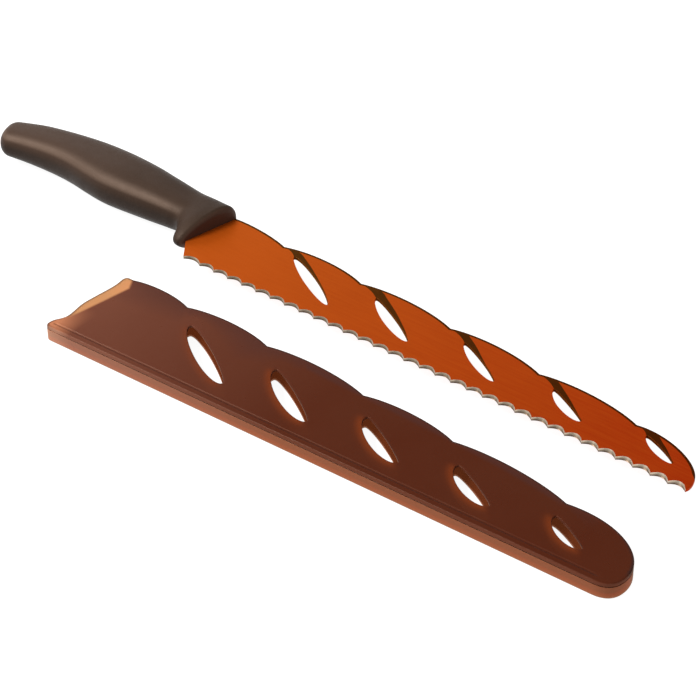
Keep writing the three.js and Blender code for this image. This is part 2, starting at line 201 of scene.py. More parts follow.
GUARD_WINDOWS = [
    dict(upper=(21.2, 26.7), lower=(50.4, 7.4), over=2.3, under=4.2),
    dict(upper=(60.1, 24.2), lower=(85.5, 7.8), over=1.6, under=4.8),
    dict(upper=(99.9, 21.4), lower=(121.6, 8.1), over=1.2, under=4.8),
    dict(upper=(137.9, 18.4), lower=(156.9, 7.6), over=1.1, under=4.8),
    dict(upper=(176.1, 15.8), lower=(190.8, 7.5), over=0.9, under=4.0),
]
GUARD_WINDOW_TIPS = (0.55, 0.55, 0.55, 0.55)
LOWER_WINDOW_GROW = 0.5
LOWER_WINDOW_REACH = 1.7          # how much further these windows reach towards the spine
SEAM = 1.5                        # height of the weld seam over the middle plane
SEAM_GAP = 0.1
SEAM_ROUND = 0.28
OUTER_ROUND = 0.45                # rounding of the case's outer edges
WINDOW_ROUND = 0.22
LIP_ROUND = 0.25
GROOVE_MIDDLE = GUARD_EDGE_Y + 2.7
GROOVE_WIDTH = 1.3
GROOVE_DEPTH = 0.25
GROOVE_START = (-18.3, -16.6)     # the groove deepens between these and runs out between those
GROOVE_END = (199.0, 203.0)
GROOVE_LINES = 13                 # the triangles follow so many lines along it
GROOVE_POINTS = [(-18.2, -16.4, 7), (-10, 196, 60), (199, 203, 8)]   # their runs of points
LIP_SLANT = 0.2
# in metres: beside the mouth the plastic is painted brighter, a painted light for the light that
# comes in at the side, up to a slanting line, which turns back by a share from LIP_TURN[0] across
# to meet the spine; the painted brightness begins between LIP_FADE across
LIP_BORDER = (-0.0174, -0.0162)
LIP_TURN = (0.031, 0.7)
LIP_FADE = (0.004, 0.010)
# in metres: the corner beside the edge has a painted glow of light too, which fades between these
CORNER_GLOW_ALONG = (-0.0195, -0.0085)
CORNER_GLOW_ACROSS = (0.002, 0.014)
FLANGE_FROM = 3                   # from the mouth
FLANGE_LINES = (-0.3, 1.4)        # how far from the room the spine's solid edge begins
# the dark outline along the border is a painted shade
OUTLINE = (0.60, 1.25)            # how far from the border the dark outline fades out
OUTLINE_ACROSS = (4, 7)           # it begins here across, and beside the mouth also here along
OUTLINE_ALONG = (-19, -16)
# the glow round the windows is painted light
WINDOW_GLOW = [0.8, 1.7, 2.8, 4.2]   # lines round the windows; the last is their glow's reach
WINDOW_GLOW_FROM = 0.2
WINDOW_GLOW_FALL = 1.5            # how quickly the glow falls off
WINDOW_GLOW_SIDE = (-3.0, -0.4)   # the glow is on the cutting edge's side of a window
GUARD_GLOSS = 0.32
GUARD_IOR = 1.45
PLASTIC_TINT = (0.916, 0.41, 0.0)   # what the plastic lets through
PLASTIC_DENSITY = 1900.0
FAR_FROM = 0.45                   # from this share of its length on, the colours are the far end's

NOISE_RANGE = (0.3, 0.7)          # nearly all of a noise texture lies between these
WORLD_LIGHT = 0.55
FLOOR_GLOW = 0.92
FLOOR_SIZE = 6.0                  # in metres
FLOOR_GAP = 0.0001

# -------- curves


def cubic(a, b, c, d, steps):
    """Points of a cubic curve after its first, as an array."""
    t = (np.arange(steps) + 1)[:, None] / steps
    a, b, c, d = (np.array(p, float) for p in (a, b, c, d))
    return (1 - t) ** 3 * a + 3 * (1 - t) ** 2 * t * b + 3 * (1 - t) * t ** 2 * c + t ** 3 * d


def quadratic(a, b, c, steps):
    t = (np.arange(steps) + 1)[:, None] / steps
    a, b, c = (np.array(p, float) for p in (a, b, c))
    return (1 - t) ** 2 * a + 2 * (1 - t) * t * b + t ** 2 * c


WAVE_HANDLE = 0.27
ROUND_HANDLE = 0.55               # makes a cubic curve a quarter of an ellipse


def wave(start, end, crest, steps):
    """One wave of a spine, bulging by crest over the chord."""
    lift = np.array((0, crest * 4 / 3))
    start, end = np.array(start, float), np.array(end, float)
    part = (end - start) * WAVE_HANDLE
    return cubic(start, start + part + lift, end - part + lift, end, steps)


def hermite(t, start, start_slope, end, end_slope):
    return ((2 * t ** 3 - 3 * t ** 2 + 1) * start + (t ** 3 - 2 * t ** 2 + t) * start_slope
            + (3 * t ** 2 - 2 * t ** 3) * end + (t ** 3 - t ** 2) * end_slope)


def smooth_line(points, steps):
    """A curve through all the points, the first left out."""
    p = np.array(points, float)
    p = np.vstack([p[:1], p, p[-1:]])
    out = []
    for i in range(1, len(p) - 2):
        v0, v1 = (p[i + 1] - p[i - 1]) / 2, (p[i + 2] - p[i]) / 2
        out += [hermite(k / steps, p[i], v0, p[i + 1], v1) for k in range(1, steps + 1)]
    return np.array(out)


def leaf(window, tips, grow=0.0, reach=0.0, steps=40):
    """A leaf-shaped window, clockwise from its upper tip, with its lower tip half-way."""
    upper, lower = np.array(window["upper"]), np.array(window["lower"])
    along = (lower - upper) / np.linalg.norm(lower - upper)
    across = np.array((-along[1], along[0]))
    a, b = upper - (grow + reach) * along, lower + grow * along
    handle = ROUND_HANDLE * (b - a) / 2

    def half(bulge, blunt_start, blunt_end):
        """From a to b by way of the middle of one side."""
        top = (a + b) / 2 + bulge * across
        return np.vstack([
            cubic(a, a + blunt_start * bulge * across, top - handle, top, steps // 2),
            cubic(top, top + handle, b + blunt_end * bulge * across, b, steps // 2),
        ])

    spine_side = half(window["over"] + grow, *tips[:2])
    edge_side = half(-window["under"] - grow, *tips[2:])
    return np.vstack([a, spine_side, edge_side[-2::-1]])


def value_at(table, x):
    """The table's value at x, on a smooth curve through its points."""
    t = np.array(table, float)
    x = np.asarray(x, float)
    i = np.clip(np.searchsorted(t[:, 0], x), 1, len(t) - 1)
    before = np.maximum(np.arange(len(t)) - 1, 0)
    after = np.minimum(np.arange(len(t)) + 1, len(t) - 1)
    slope = (t[after, 1] - t[before, 1]) / (t[after, 0] - t[before, 0])
    (x0, y0), (x1, y1) = t[i - 1].T, t[i].T
    span = x1 - x0
    return hermite((x - x0) / span, y0, span * slope[i - 1], y1, span * slope[i])


def smoothstep(x, low, high):
    t = np.clip((np.asarray(x, float) - low) / (high - low), 0, 1)
    return t * t * (3 - 2 * t)


def grip_middle(x):
    return (value_at(GRIP_TOP, x) + value_at(GRIP_BOTTOM, x)) / 2


def left_of(loop, closed=True):
    """The unit vector to the left of each point, longer at corners so that offsets stay even."""
    if closed:
        before, after = np.roll(loop, 1, 0), np.roll(loop, -1, 0)
    else:
        before = np.vstack([2 * loop[0] - loop[1], loop[:-1]])
        after = np.vstack([loop[1:], 2 * loop[-1] - loop[-2]])
    a = (loop - before) / np.linalg.norm(loop - before, axis=1)[:, None]
    b = (after - loop) / np.linalg.norm(after - loop, axis=1)[:, None]
    normal = np.stack([-(a + b)[:, 1], (a + b)[:, 0]], 1)
    normal /= np.linalg.norm(normal, axis=1)[:, None]
    across = np.stack([-a[:, 1], a[:, 0]], 1)
    return normal / np.maximum((normal * across).sum(1), 0.5)[:, None]


def inside(points, loop):
    """Which of the points lie inside a closed loop."""
    points, loop = np.asarray(points), np.asarray(loop)
    result = np.zeros(len(points), bool)
    nxt = np.roll(loop, -1, 0)
    for (x0, y0), (x1, y1) in zip(loop, nxt):
        if y0 == y1:
            continue
        crosses = (points[:, 1] < y0) != (points[:, 1] < y1)
        x = x0 + (points[:, 1] - y0) * (x1 - x0) / (y1 - y0)
        result ^= crosses & (points[:, 0] < x)
    return result


# -------- meshes

TOUCH = 1e-5                      # points nearer than this are one
LEAST_AREA = 1e-9
LARGE_FACES = 80                  # how much large faces count in the shading
TAPER_POINTS = 5


class Skin:
    """Collects the faces of one closed body.  Points that fall together are one vertex."""

    def __init__(self, flip=False, height=None):
        self.points, self.index, self.faces, self.looks = [], {}, [], []
        self.flip = flip
        self.height = height or (lambda x, y, z: z)

    def vertex(self, x, y, z):
        z = self.height(x, y, z)
        key = (round(float(x), 4), round(float(y), 4), round(float(z), 4))
        if key not in self.index:
            self.index[key] = len(self.points)
            self.points.append(key)
        return self.index[key]

    def face(self, corners, look=0):
        ids = [self.vertex(*c) for c in corners]
        ids = [v for i, v in enumerate(ids) if v != ids[i - 1]]
        if len(set(ids)) < 3:
            return
        self.faces.append(ids[::-1] if self.flip else ids)
        self.looks.append(look)

    def cap(self, outer, holes, z, up, look_of=None, lines=()):
        """A flat face with holes.  lines are further polylines that its triangles must follow."""
        loops = [np.asarray(outer), *[np.asarray(h) for h in holes]]
        points, edges = [], []
        for loop in loops:
            first = len(points)
            points += [tuple(p) for p in loop]
            edges += [(first + i, first + (i + 1) % len(loop)) for i in range(len(loop))]
        for line in lines:
            first = len(points)
            points += [tuple(p) for p in line]
            edges += [(first + i, first + i + 1) for i in range(len(line) - 1)]
        found = delaunay_2d_cdt([Vector(p) for p in points], edges, [], 0, TOUCH)
        flat = np.array([(v[0], v[1]) for v in found[0]])
        triangles = np.array(found[2])
        centres = flat[triangles].mean(1)
        keep = inside(centres, loops[0])
        for hole in loops[1:]:
            keep &= ~inside(centres, hole)
        corners = flat[triangles]
        ab, ac = corners[:, 1] - corners[:, 0], corners[:, 2] - corners[:, 0]
        area = ab[:, 0] * ac[:, 1] - ab[:, 1] * ac[:, 0]
        looks = look_of(centres) if look_of else np.zeros(len(centres), int)
        for i in np.nonzero(keep & (np.abs(area) > LEAST_AREA))[0]:
            three = corners[i] if (area[i] > 0) == up else corners[i][::-1]
            self.face([(x, y, z) for x, y in three], int(looks[i]))

    def strip(self, low, high, closed=True, looks=None):
        """A band of faces between two lines of 3-D points, low below high, the body on the left."""
        n = len(low)
        for i in range(n if closed else n - 1):
            j = (i + 1) % n
            self.face([low[i], low[j], high[j], high[i]], 0 if looks is None else int(looks[i]))

    def mesh(self, name, place, smooth_angle):
        data = bpy.data.meshes.new(name)
        data.from_pydata([place(*p) for p in self.points], [], self.faces)
        data.polygons.foreach_set("material_index", self.looks)
        data.polygons.foreach_set("use_smooth", [True] * len(self.faces))
        data.update()
        piece = placed(name, data)
        data.set_sharp_from_angle(angle=math.radians(smooth_angle))
        weighted = piece.modifiers.new("normals", "WEIGHTED_NORMAL")
        weighted.keep_sharp = True
        weighted.weight = LARGE_FACES
        return piece


def closed_line(loop):
    return np.vstack([loop, loop[:1]])


def tapered(count):
    """A share for each of count points that fades to nothing at both ends."""
    number = np.arange(count)
    share = smoothstep(number, 0, TAPER_POINTS)
    return np.minimum(share, share[::-1])


def lifted(loop, z):
    """The loop's points at height z, which is one number or one for each point."""
    return np.column_stack([loop, np.broadcast_to(z, len(loop))])


def rim(skin, loop, radius, edge, outward, closed=True, taper=None, steps=4, looks=None):
    """Rounds the edge where a wall meets a flat face at height edge.  outward is +1 for a top edge
    and -1 for a bottom one.  Returns the flat face's border and the heights of the wall's end."""
    left = left_of(loop, closed)
    share = np.ones(len(loop)) if taper is None else taper
    rings = []
    for k in range(steps + 1):
        angle = math.pi / 2 * k / steps
        inset = radius * share * (1 - math.cos(angle))
        height = edge - outward * radius * share * (1 - math.sin(angle))
        rings.append(lifted(loop + left * inset[:, None], height))
    for a, b in zip(rings, rings[1:]):
        low, high = (a, b) if outward > 0 else (b, a)
        skin.strip(low, high, closed, looks)
    return rings[-1][:, :2], rings[0][:, 2]


# -------- where things are

blade_low, blade_high = (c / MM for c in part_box("blade"))
knife_origin = Vector((blade_low.x - TANG_REAR, blade_low.y, (blade_low.z + blade_high.z) / 2))


def on_knife(x, y, z):
    return ((x + knife_origin.x) * MM, (y + knife_origin.y) * MM, (z + knife_origin.z) * MM)


slide_axis = Vector(frame["joints"][0]["axis"]).normalized()
shell_low, shell_high = (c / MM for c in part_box("guard_lower_shell"))


def level_line(x0, x1, y, steps=59):
    """Points from x0, left out, to x1."""
    return np.column_stack([np.linspace(x0, x1, steps + 1)[1:], np.full(steps, y)])


def guard_outline(lip):
    """Two lines, each with both its ends: from the mouth along the edge wall, the far end and the
    spine to the spine wall's end, and the lip from there back."""
    mouth_level = GUARD_EDGE_Y + GUARD_EDGE_WALL
    corner = quadratic(lip[-1], *LIP_EDGE_CORNER, 24)
    split = int(np.argmin(np.abs(corner[:, 1] - mouth_level)))
    corner[split, 1] = mouth_level
    low = (GUARD_END - GUARD_END_ROUND, GUARD_EDGE_Y)
    turn = (GUARD_END, GUARD_EDGE_Y + GUARD_END_ROUND)
    straight = level_line(LIP_EDGE_CORNER[1][0], low[0], low[1])
    ring = [corner[split:], straight, quadratic(low, (GUARD_END, GUARD_EDGE_Y), turn, 24),
            cubic(turn, *GUARD_END_CURVE, GUARD_NOTCHES[-1], 60)]
    for a, b in zip(GUARD_NOTCHES[::-1], GUARD_NOTCHES[-2::-1]):
        ring.append(wave(a, b, GUARD_CREST, 44))
    ring.append(wave(GUARD_NOTCHES[0], GUARD_SPINE_START, GUARD_FIRST_CREST, 40))
    end = [np.array([GUARD_SPINE_START, LIP_SPINE_CORNER[0]]), quadratic(*LIP_SPINE_CORNER, 12),
           smooth_line([LIP_SPINE_CORNER[2], *lip], 14), corner[:split + 1]]
    return np.vstack(ring), np.vstack(end)


def cavity_line(start):
    """The wall of the room inside, from the mouth's edge side round to the spine wall's end."""
    floor = GUARD_EDGE_Y + GUARD_EDGE_WALL
    end = GUARD_END - GUARD_EDGE_WALL
    low, turn = (end - CAVITY_END_ROUND, floor), (end, floor + CAVITY_END_ROUND)
    top = [CAVITY_TOP[-1], *CAVITY_TOP[-2:0:-1]]
    (x0, y0), (x1, y1) = CAVITY_TOP[:2]
    x = GUARD_SPINE_START[0]
    last = (x, y0 + (y1 - y0) * (x - x0) / (x1 - x0))
    return np.vstack([
        start, level_line(start[0], low[0], floor),
        quadratic(low, (end, floor), turn, 20), cubic(turn, *CAVITY_END_CURVE, top[0], 40),
        np.array(top[1:]), last, GUARD_SPINE_START,
    ])


def turned(points):
    """Guard coordinates in the frame's directions, in millimetres, before the shift."""
    c, s = slide_axis.x, slide_axis.y
    x, y = points.T
    return np.column_stack([x * c - y * s, x * s + y * c])


lower_ring, lower_end = guard_outline(LOWER_LIP)
footprint = turned(np.vstack([lower_ring, lower_end]))
guard_origin = Vector((shell_high.x - footprint[:, 0].max(),
                       shell_low.y - footprint[:, 1].min(), shell_low.z + GUARD_HALF))


def on_guard(x, y, z):
    c, s = slide_axis.x, slide_axis.y
    return ((x * c - y * s + guard_origin.x) * MM, (x * s + y * c + guard_origin.y) * MM,
            (z + guard_origin.z) * MM)


# -------- blade

COAT, PRINT, STEEL = 0, 1, 2


def cutting_edge(steps=24):
    """The scalloped edge from the heel to the point's foot, and where its grinding ends on top."""
    points = []
    for i in range(-1, SCALLOPS):
        x0, x1 = (HEEL_X, 0.0) if i < 0 else (i * PITCH, (i + 1) * PITCH)
        t = np.arange(steps) / steps
        points.append(np.column_stack([x0 + (x1 - x0) * t, SCALLOP_DEPTH * 4 * t * (1 - t)]))
    edge = np.vstack([*points, (EDGE_LENGTH, 0.0)])
    x = edge[:, 0]
    ends = np.minimum(smoothstep(x, HEEL_X, HEEL_X + 1.0),
                      1 - smoothstep(x, EDGE_LENGTH - 1.0, EDGE_LENGTH))
    at_heel, at_point = GROUND_SHARE
    share = at_heel + (at_point - at_heel) * smoothstep(x, 0, EDGE_LENGTH)
    ground = edge.copy()
    ground[:, 1] += (share * edge[:, 1] + GROUND_LEAST) * ends
    return edge, ground


def blade_back():
    """The outline from the point's foot round the spine and the tang to the heel."""
    foot = (EDGE_LENGTH, 0.0)
    rear_half = TANG_HALF * TANG_TAPER
    rear_x = TANG_REAR + rear_half
    rear_y = float(grip_middle(rear_x))
    angle = np.linspace(math.pi / 2, 3 * math.pi / 2, 25)
    parts = [np.array([foot]), quadratic(foot, *TIP_CORNER, 20),
             cubic(TIP_CORNER[1], *TIP_CURVE, SPINE_NOTCHES[-1], 90)]
    for a, b in zip(SPINE_NOTCHES[::-1], SPINE_NOTCHES[-2::-1]):
        parts.append(wave(a, b, SPINE_CREST, 60))
    parts.append(wave(SPINE_NOTCHES[0], SPINE_START, FIRST_CREST, 40))
    spine_end = sum(len(p) for p in parts)
    parts.append(np.array([SPINE_ROOT, (TANG_FRONT[0], TANG_FRONT[1] + TANG_HALF),
                           (rear_x, rear_y + rear_half)]))
    round_end = [rear_x + rear_half * np.cos(angle), rear_y + rear_half * np.sin(angle)]
    parts.append(np.column_stack(round_end)[1:])
    parts.append(np.array([(TANG_FRONT[0], TANG_FRONT[1] - TANG_HALF), *HEEL_ROOT, (HEEL_X, 0.0)]))
    return np.vstack(parts), spine_end


def circle(x, y, radius, steps=32):
    """A clockwise circle."""
    angle = -np.arange(steps) * 2 * math.pi / steps
    return np.column_stack([x + radius * np.cos(angle), y + radius * np.sin(angle)])


def make_blade():
    skin = Skin()
    edge, ground_top = cutting_edge()
    back, spine_end = blade_back()
    taper = np.ones(len(back))
    taper[0] = taper[-1] = 0
    spine = np.arange(len(back)) < spine_end
    foot_of_tip = back[:, 0] > TIP_CORNER[1][0] - 0.5
    back_looks = np.where(spine & ~((back[:, 1] < TIP_CORNER[1][1]) & foot_of_tip), PRINT, COAT)

    # the ground faces along the scallops, from the edge up to where the coating starts
    low = -BLADE_HALF + GROUND_EDGE
    columns = [lifted(edge, -BLADE_HALF)]
    for k in range(GROUND_ROWS + 1):
        s = k / GROUND_ROWS
        height = low + (BLADE_HALF - low) * s ** GROUND_CURVE
        columns.append(lifted(edge + (ground_top - edge) * s, height))
    for a, b in zip(columns, columns[1:]):
        skin.strip(a, b, False, np.full(len(edge), STEEL))

    def rounded(loop, side, closed, taper, looks):
        return rim(skin, loop, BLADE_ROUND, side * BLADE_HALF, side, closed, taper,
                   BLADE_ROUND_STEPS, looks)

    top_back, top_wall = rounded(back, 1, False, taper, back_looks)
    low_back, low_wall = rounded(back, -1, False, taper, back_looks)
    low_line, top_line = lifted(back, low_wall)[1:-1], lifted(back, top_wall)[1:-1]
    skin.strip(low_line, top_line, False, back_looks[1:-1])

    def column_at(place):
        return [(*place, column[0][2]) for column in columns]

    skin.face([*column_at(back[0])[::-1], low_line[0], top_line[0]], COAT)
    skin.face([top_line[-1], low_line[-1], *column_at(back[-1])], COAT)

    # windows and tang holes
    top_holes, low_holes = [], []
    holes = [leaf(w, WINDOW_TIPS) for w in WINDOWS]
    holes += [circle(x, float(grip_middle(x)), TANG_HOLE_RADIUS) for x in TANG_HOLES]
    for number, loop in enumerate(holes):
        looks = np.zeros(len(loop), int)
        if number < len(WINDOWS):
            looks[:len(loop) // 2] = PRINT
        top_loop, top_level = rounded(loop, 1, True, None, looks)
        low_loop, low_level = rounded(loop, -1, True, None, looks)
        skin.strip(lifted(loop, low_level), lifted(loop, top_level), True, looks)
        top_holes.append(top_loop)
        low_holes.append(low_loop)

    # flat faces, with the borders of the print as lines their triangles follow
    def printed(back_loop, holes_now):
        line = back_loop[:spine_end]
        line = line[line[:, 1] > PRINT_FROM]
        inner = line + left_of(line, False) * SPINE_LINE
        share = smoothstep(np.arange(len(line)), 0, PRINT_FADE)[:, None]
        inner = line + (inner - line) * np.maximum(share, PRINT_LEAST)
        regions, lines = [np.vstack([line, inner[::-1]])], [inner]
        for band, notch, hole in zip(BANDS, SPINE_NOTCHES, holes_now):
            half = len(hole) // 2
            at_notch = line[np.argmin(np.hypot(*(line - notch).T))]
            leaves = line[np.argmin(np.abs(line[:, 0] - band["leaves"]))]
            border = np.vstack([leaves, smooth_line([leaves, *band["border"], hole[half]], 6)])
            chord = hole[0] - at_notch
            across = np.array((-chord[1], chord[0])) / np.linalg.norm(chord)
            control = (at_notch + hole[0]) / 2 + 2 * BAND_START_BULGE * across
            start = np.vstack([at_notch, quadratic(at_notch, control, hole[0], 8)])
            run = line[(line[:, 0] > at_notch[0]) & (line[:, 0] < leaves[0])][::-1]
            window_side = hole[1:half][::-1]
            regions.append(np.vstack([at_notch, run, border, window_side, start[1:][::-1]]))
            lines += [border, start]
        return regions, lines

    for sign, back_loop, holes_now in ((1, top_back, top_holes), (-1, low_back, low_holes)):
        regions, lines = printed(back_loop, holes_now)

        def look_of(centres, regions=regions):
            dark = np.any([inside(centres, region) for region in regions], axis=0)
            return np.where(dark, PRINT, COAT)

        edge_line = ground_top if sign > 0 else edge
        outer = np.vstack([edge_line, back_loop[1:-1]])
        skin.cap(outer, holes_now, sign * BLADE_HALF, sign > 0, look_of, lines)
    return skin.mesh("knife_blade", on_knife, smooth_angle=24)


# -------- grip


def grip_ring(x, inset):
    """One closed section of the grip, its x for each point slanting at both ends."""
    top, bottom = float(value_at(GRIP_TOP, x)), float(value_at(GRIP_BOTTOM, x))
    middle, half = (top + bottom) / 2, (top - bottom) / 2 - inset - INSIDE
    thick = float(value_at(GRIP_HALF, x)) - inset - INSIDE
    near_front = float(smoothstep(x, FRONT_FROM, GRIP_FRONT))
    slant = FRONT_SLANT * float(smoothstep(x, FRONT_SLANT_FROM, GRIP_FRONT))
    slant += REAR_SLANT * (1 - float(smoothstep(x, GRIP_REAR, REAR_SLANT_TO)))
    angle = 2 * math.pi * np.arange(GRIP_SIDES) / GRIP_SIDES
    c, s = np.cos(angle), np.sin(angle)
    blend = smoothstep(c, -0.25, 0.25)
    front = FRONT_FOOT_SQUARE + (FRONT_TOP_SQUARE - FRONT_FOOT_SQUARE) * blend
    power = 2 / (GRIP_SQUARE + (front - GRIP_SQUARE) * near_front)
    up = np.sign(c) * np.abs(c) ** power
    out = np.sign(s) * np.abs(s) ** power
    y = middle + half * up
    z = thick * out * (1 + FRONT_NARROWING * near_front * up)
    return np.column_stack([x + slant * (y - middle), y, z])


def make_grip():
    rings = []
    start, end = GRIP_REAR + INSIDE + REAR_ROUND, GRIP_FRONT - INSIDE - FRONT_ROUND
    for i in range(GRIP_TURNS):
        a = math.pi / 2 * i / GRIP_TURNS
        rings.append(grip_ring(start - REAR_ROUND * math.cos(a), REAR_ROUND * (1 - math.sin(a))))
    for i in range(GRIP_STATIONS):
        rings.append(grip_ring(start + (end - start) * i / GRIP_STATIONS, 0))
    for i in range(GRIP_TURNS + 1):
        a = math.pi / 2 * i / GRIP_TURNS
        rings.append(grip_ring(end + FRONT_ROUND * math.sin(a), FRONT_ROUND * (1 - math.cos(a))))
    skin = Skin()
    for a, b in zip(rings, rings[1:]):
        skin.strip(a, b)
    # each end face is drawn in to its middle in rings, so that its shading stays smooth
    for ring, rear in ((rings[0], True), (rings[-1], False)):
        centre = ring.mean(0)
        drawn_in = [centre + (ring - centre) * share for share in (1.0, 0.75, 0.5, 0.25, 0.0)]
        for outer, inner in zip(drawn_in, drawn_in[1:]):
            low, high = (inner, outer) if rear else (outer, inner)
            skin.strip(low, high)
    return skin.mesh("grip", on_knife, smooth_angle=50)


# -------- guard


def window_lines(holes):
    """Lines round the windows that the triangles follow, so that they can carry the painted glow.
    """
    return [closed_line(hole + left_of(hole) * away) for hole in holes for away in WINDOW_GLOW]


def distances(places, line):
    return np.array([np.hypot(*(line - place).T).min() for place in places])


def set_attribute(piece, name, values):
    attribute = piece.data.attributes.new(name, "FLOAT", "POINT")
    attribute.data.foreach_set("value", values)


def make_shell(name, lip, windows, side, total):
    """One shell of the guard.  side is -1 for the lower shell and +1 for the upper, windows how
    much its windows grow and reach, total its height.  Heights run inward from the outer face, so
    the same steps build both."""
    ring, end = guard_outline(lip)
    inner = cavity_line(ring[0])
    outline = np.vstack([ring, end[1:-1]])

    def height(x, y, z):
        if side > 0 and z < OUTER_ROUND + 0.01:
            fade = float(smoothstep(x, *GROOVE_START) * (1 - smoothstep(x, *GROOVE_END)))
            across = abs(y - GROOVE_MIDDLE) / (GROOVE_WIDTH / 2)
            z += GROOVE_DEPTH * fade * max(0.0, 1 - across ** 2) ** 1.5
        return side * (GUARD_HALF - z)

    skin = Skin(flip=side > 0, height=height)
    face_loop, wall_from = rim(skin, outline, OUTER_ROUND, 0.0, -1)

    # outer wall: the whole height round the ring, the thickness of the case at the lip
    seam_loop, seam_from = rim(skin, ring, SEAM_ROUND, total, 1, False, tapered(len(ring)))
    skin.strip(lifted(ring, wall_from[:len(ring)]), lifted(ring, GUARD_WALL), False)
    if total - SEAM_ROUND > GUARD_WALL:
        skin.strip(lifted(ring, GUARD_WALL), lifted(ring, seam_from), False)
    lip_loop, lip_from = rim(skin, end, LIP_ROUND, GUARD_WALL, 1, False, tapered(len(end)))
    skin.strip(lifted(end, OUTER_ROUND), lifted(end, lip_from), False)

    # the wall of the room inside, and the face at the seam
    skin.strip(lifted(inner[::-1], GUARD_WALL), lifted(inner[::-1], total), False)
    skin.cap(np.vstack([seam_loop, inner[::-1][1:-1]]), [], total, True)

    # windows
    openings = [leaf(window, GUARD_WINDOW_TIPS, *windows) for window in GUARD_WINDOWS]
    outer_holes, inner_holes = [], []
    for loop in openings:
        outer_loop, start = rim(skin, loop, WINDOW_ROUND, 0.0, -1)
        inner_loop, stop = rim(skin, loop, WINDOW_ROUND, GUARD_WALL, 1)
        skin.strip(lifted(loop, start), lifted(loop, stop))
        outer_holes.append(outer_loop)
        inner_holes.append(inner_loop)

    # flat faces
    flat_side = np.vstack([inner, lip_loop[1:-1]])
    skin.cap(flat_side, inner_holes, GUARD_WALL, True, None, window_lines(inner_holes))
    lines = window_lines(outer_holes)
    if side > 0:
        lines.append(closed_line(face_loop + left_of(face_loop) * (OUTLINE[1] - OUTER_ROUND)))
        top = [point for point in CAVITY_TOP if point[0] > lip[0][0] + FLANGE_FROM]
        lines += [np.array(top) + (0, over) for over in FLANGE_LINES]
        along = np.concatenate([np.linspace(*run) for run in GROOVE_POINTS])
        for share in np.linspace(-1, 1, GROOVE_LINES):
            y = GROOVE_MIDDLE + share * GROOVE_WIDTH / 2
            lines.append(np.column_stack([along, np.full(len(along), y)]))
    skin.cap(face_loop, outer_holes, 0.0, False, None, lines)
    shell = skin.mesh(name, on_guard, smooth_angle=35)

    # what the material needs to know of each place
    places = np.array(skin.points)[:, :2]
    x, y = places.T
    # the painted glow of light beside each window, on the cutting edge's side
    painted_window_glow = np.zeros(len(places))
    for window, loop in zip(GUARD_WINDOWS, openings):
        upper, lower = window["upper"], window["lower"]
        chord = np.subtract(lower, upper) / math.dist(lower, upper)
        aside = (places - upper) @ (-chord[1], chord[0])
        away = smoothstep(distances(places, loop), WINDOW_GLOW_FROM, WINDOW_GLOW[-1])
        near = (1 - away) ** WINDOW_GLOW_FALL * (1 - smoothstep(aside, *WINDOW_GLOW_SIDE))
        painted_window_glow = np.maximum(painted_window_glow, near)
    set_attribute(shell, "painted_window_glow", painted_window_glow)
    # the painted shade of the dark outline along the border, on the upper shell
    dark = np.maximum(smoothstep(y, *OUTLINE_ACROSS), 1 - smoothstep(x, *OUTLINE_ALONG))
    dark *= 1 - smoothstep(distances(places, outline), *OUTLINE)
    set_attribute(shell, "outline", dark * (side > 0))
    over = y - np.interp(x, *np.transpose(CAVITY_TOP))
    set_attribute(shell, "flange", smoothstep(over, *FLANGE_LINES) * (side > 0))
    return shell


# -------- materials


